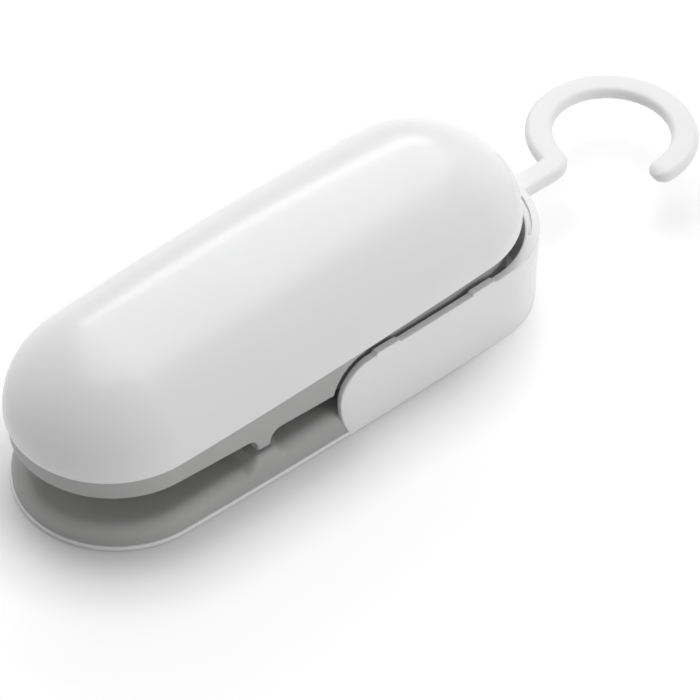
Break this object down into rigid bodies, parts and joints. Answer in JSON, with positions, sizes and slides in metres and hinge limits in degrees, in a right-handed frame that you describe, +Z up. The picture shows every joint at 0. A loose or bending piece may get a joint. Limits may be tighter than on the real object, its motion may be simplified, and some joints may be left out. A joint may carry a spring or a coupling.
{
  "type": "bag sealer",
  "caption": "Small battery bag sealer: domed lift-off cover over the cells, sprung heating jaw over a padded lower jaw, and a swivelling question-mark hanging hook at the rear.",
  "frame": {"origin": "middle of the base in plan, on the surface that it stands on", "axes": "+X from the jaw mouth towards the hanging hook, +Y to the left when looking along +X, +Z up"},
  "size_m": [0.1546, 0.0388, 0.0361],
  "materials": {
    "white_plastic": "smooth satin",
    "grey_plastic": "fine matt",
    "silicone": "matt",
    "steel": "plated",
    "core": "matt",
    "ribbon": "rolled",
    "film": "woven, coated",
    "cell_jacket": "painted",
    "black_plastic": "matt",
    "terminal_brass": "plated",
    "red_plastic": "satin",
    "red_lead": "satin",
    "black_lead": "satin"
  },
  "bodies": {
    "base": {"base_shell": "white_plastic", "lower_jaw": "grey_plastic", "seal_pad": "silicone", "base_screws": "steel", "hinge_pin": "steel", "return_spring": "steel"},
    "arm": {"upper_jaw": "grey_plastic", "heater_core": "core", "heater_ribbon": "ribbon", "heater_tape": "film", "heater_terminals": "steel", "cell_right": "cell_jacket", "cell_left": "cell_jacket", "series_link": "steel", "positive_contact": "steel", "negative_contact": "steel", "cell_spring_front": "steel", "cell_spring_rear": "steel", "micro_switch": "black_plastic", "switch_terminals": "terminal_brass", "switch_pins": "steel", "lead_supply": "red_lead", "lead_switched": "red_lead", "lead_return": "black_lead"},
    "cover": {"top_cover": "white_plastic"},
    "plunger": {"switch_plunger": "red_plastic"},
    "hook": {"hook": "white_plastic", "hook_clip": "steel"}
  },
  "joints": [
    {"name": "jaw_press", "type": "hinge", "parent": "base", "child": "arm", "pos_m": [0.038, 0, 0.0062], "axis": [0, -1, 0], "range_deg": [0, 0.8], "stiffness_Nm_per_rad": 1, "springref_deg": -5.73, "deforming": ["return_spring"]},
    {"name": "switch_press", "type": "slide", "parent": "arm", "child": "plunger", "axis": [0.0349, 0, 0.9994], "range_m": [0, 0.0004]},
    {"name": "cover_lift", "type": "slide", "parent": "arm", "child": "cover", "axis": [-0.0359, 0, 0.9994], "range_m": [0, 0.03]},
    {"name": "hook_swivel", "type": "hinge", "parent": "base", "child": "hook", "pos_m": [0.0558, 0, 0.0119], "axis": [1, 0, 0], "continuous": true}
  ],
  "couplings": [
    {"joint": "switch_press", "follows": "jaw_press", "m_per_rad": 0.0285}
  ]
}
